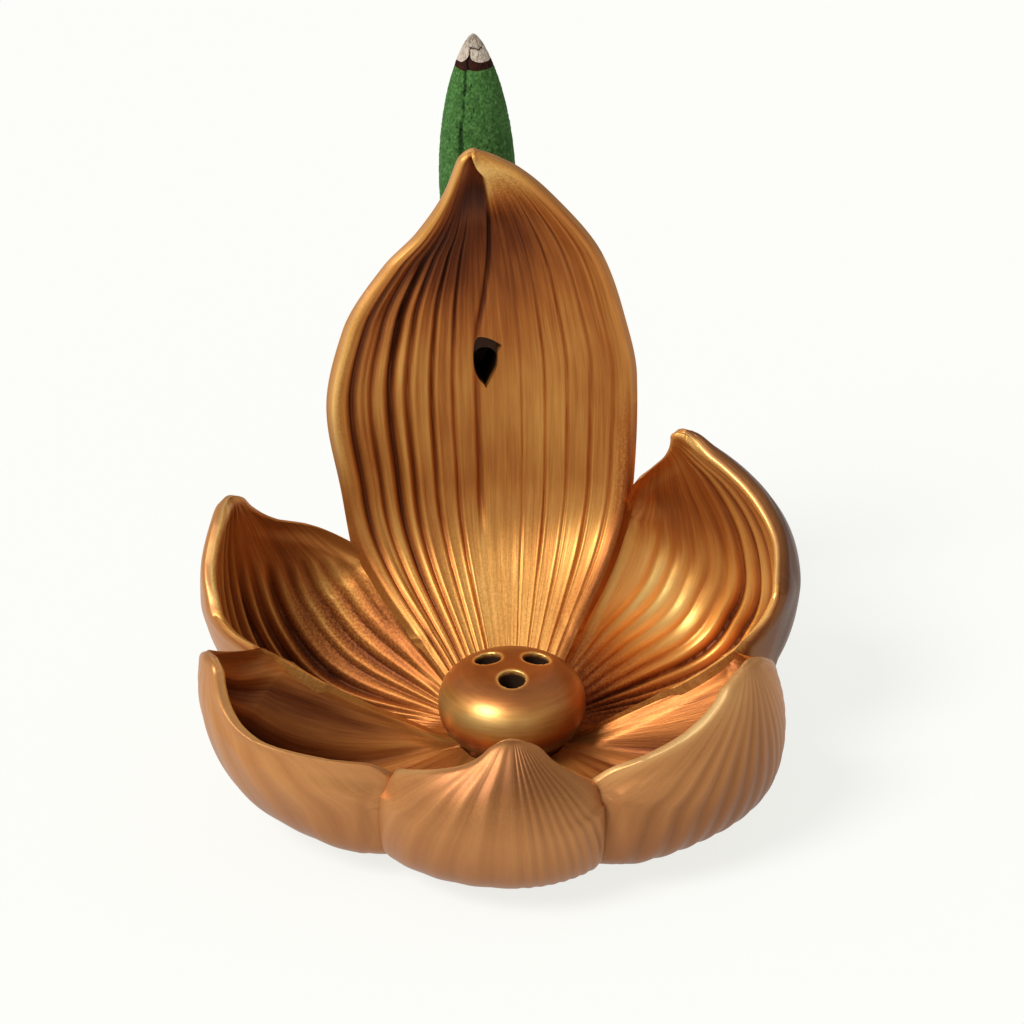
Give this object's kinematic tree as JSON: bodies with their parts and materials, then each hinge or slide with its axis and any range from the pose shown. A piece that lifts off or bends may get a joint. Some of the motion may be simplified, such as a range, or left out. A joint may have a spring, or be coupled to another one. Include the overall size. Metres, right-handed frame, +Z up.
{
  "type": "backflow incense burner",
  "caption": "Lotus-shaped backflow incense burner: cupped petals round a pierced seed pod, with a smoke outlet in the tall rear petal and an incense cone in a cup behind it.",
  "frame": {"origin": "on the floor under the middle of the seed pod, the centre of the flat rest face", "axes": "+Z up, -Y towards the low front petal, +X to the right as seen from the front"},
  "size_m": [0.0941, 0.0951, 0.1078],
  "materials": {
    "gold_outside": "satin tan-gold paint on cast resin",
    "gold_inside": "brushed antique gold paint with a brown wash, on cast resin",
    "gold_pod": "smooth antique gold paint on cast resin",
    "incense_green": "matte, grainy pressed powder",
    "char": "matte char",
    "ash": "matte ash"
  },
  "bodies": {
    "burner": {"base": "gold_outside", "front_petal": "gold_outside", "right_front_petal": "gold_outside", "right_rear_petal": "gold_inside", "back_petal": "gold_inside", "left_rear_petal": "gold_inside", "left_front_petal": "gold_outside", "seed_pod": "gold_pod", "cone_holder": "gold_outside"},
    "cone": {"incense_cone": "incense_green", "char_band": "char", "ash_tip": "ash"}
  },
  "joints": [
    {"name": "cone_lift", "type": "slide", "parent": "burner", "child": "cone", "axis": [0, 0, 1], "range_m": [0, 0.06]}
  ]
}
